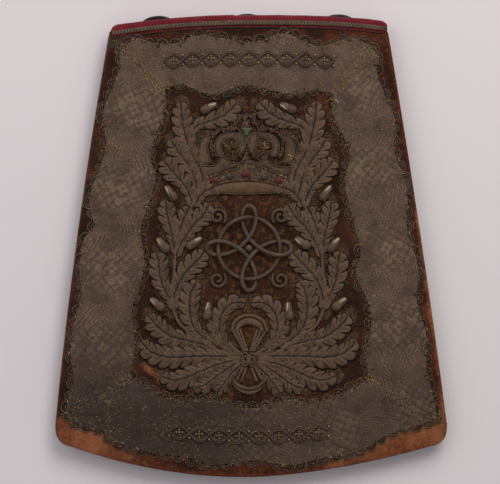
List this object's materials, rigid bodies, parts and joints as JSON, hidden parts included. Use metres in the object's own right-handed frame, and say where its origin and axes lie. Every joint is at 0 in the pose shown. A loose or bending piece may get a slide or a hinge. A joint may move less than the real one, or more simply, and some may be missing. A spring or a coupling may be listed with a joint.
{
  "type": "sabretache",
  "caption": "Flat leather sabretache with a velvet flap, metal lace border, raised oak-leaf and crown embroidery, and D-rings along its top.",
  "frame": {"origin": "middle of the box round the whole object, on the surface that it lies on", "axes": "+X across the pouch, +Y up it towards the rings, +Z out of its face"},
  "size_m": [0.3059, 0.3622, 0.0221],
  "materials": {
    "leather": "dark brown grained leather, dull from age",
    "velvet": "dark brown velvet, worn to rust at its edges",
    "crimson_cloth": "crimson cloth",
    "braid": "tarnished olive-gold braid",
    "metal_lace": "woven metal lace, tarnished grey-brown",
    "metal_embroidery": "padded metal-thread embroidery, tarnished",
    "acorn_thread": "padded metal thread, still bright",
    "red_stone": "red glass",
    "green_stone": "green glass",
    "blackened_metal": "blackened metal"
  },
  "bodies": {
    "pouch": {"back_panel": "leather", "pocket_front": "leather", "pocket_gusset": "leather", "flap_board": "leather", "velvet_face": "velvet", "top_binding": "crimson_cloth", "top_braid": "braid", "lace_top": "metal_lace", "lace_left": "metal_lace", "lace_right": "metal_lace", "lace_bottom": "metal_lace", "edging_outer": "metal_embroidery", "edging_inner": "metal_embroidery", "ornament_row_top": "metal_embroidery", "ornament_row_bottom": "metal_embroidery", "oak_branch_left": "metal_embroidery", "oak_branch_right": "metal_embroidery", "acorn_left_1": "acorn_thread", "acorn_left_2": "acorn_thread", "acorn_left_3": "acorn_thread", "acorn_left_4": "acorn_thread", "acorn_left_5": "acorn_thread", "acorn_left_6": "acorn_thread", "acorn_right_1": "acorn_thread", "acorn_right_2": "acorn_thread", "acorn_right_3": "acorn_thread", "acorn_right_4": "acorn_thread", "acorn_right_5": "acorn_thread", "acorn_right_6": "acorn_thread", "ribbon_bow": "metal_embroidery", "crown_band": "metal_embroidery", "crown_cap": "metal_embroidery", "crown_orb": "metal_embroidery", "crown_stone_1": "red_stone", "crown_stone_2": "green_stone", "crown_stone_3": "red_stone", "crown_stone_4": "green_stone", "crown_stone_5": "red_stone", "crown_stone_6": "green_stone", "scroll_knot": "metal_embroidery", "knot_ring": "metal_embroidery", "knot_rosette": "metal_embroidery", "knot_volute_1": "metal_embroidery", "knot_volute_2": "metal_embroidery", "knot_volute_3": "metal_embroidery", "knot_volute_4": "metal_embroidery", "ring_tab_left": "leather", "ring_tab_middle": "leather", "ring_tab_right": "leather"},
    "left_ring": {"ring_left": "blackened_metal"},
    "middle_ring": {"ring_middle": "blackened_metal"},
    "right_ring": {"ring_right": "blackened_metal"}
  },
  "joints": [
    {"name": "ring_left_swing", "type": "hinge", "parent": "pouch", "child": "left_ring", "pos_m": [-0.0725, 0.16575, 0.00335], "axis": [1, 0, 0], "range_deg": [-160, 6]},
    {"name": "ring_middle_swing", "type": "hinge", "parent": "pouch", "child": "middle_ring", "pos_m": [-0.003, 0.16735, 0.00335], "axis": [1, 0, 0], "range_deg": [-160, 6]},
    {"name": "ring_right_swing", "type": "hinge", "parent": "pouch", "child": "right_ring", "pos_m": [0.0685, 0.16695, 0.00335], "axis": [1, 0, 0], "range_deg": [-160, 6]}
  ]
}
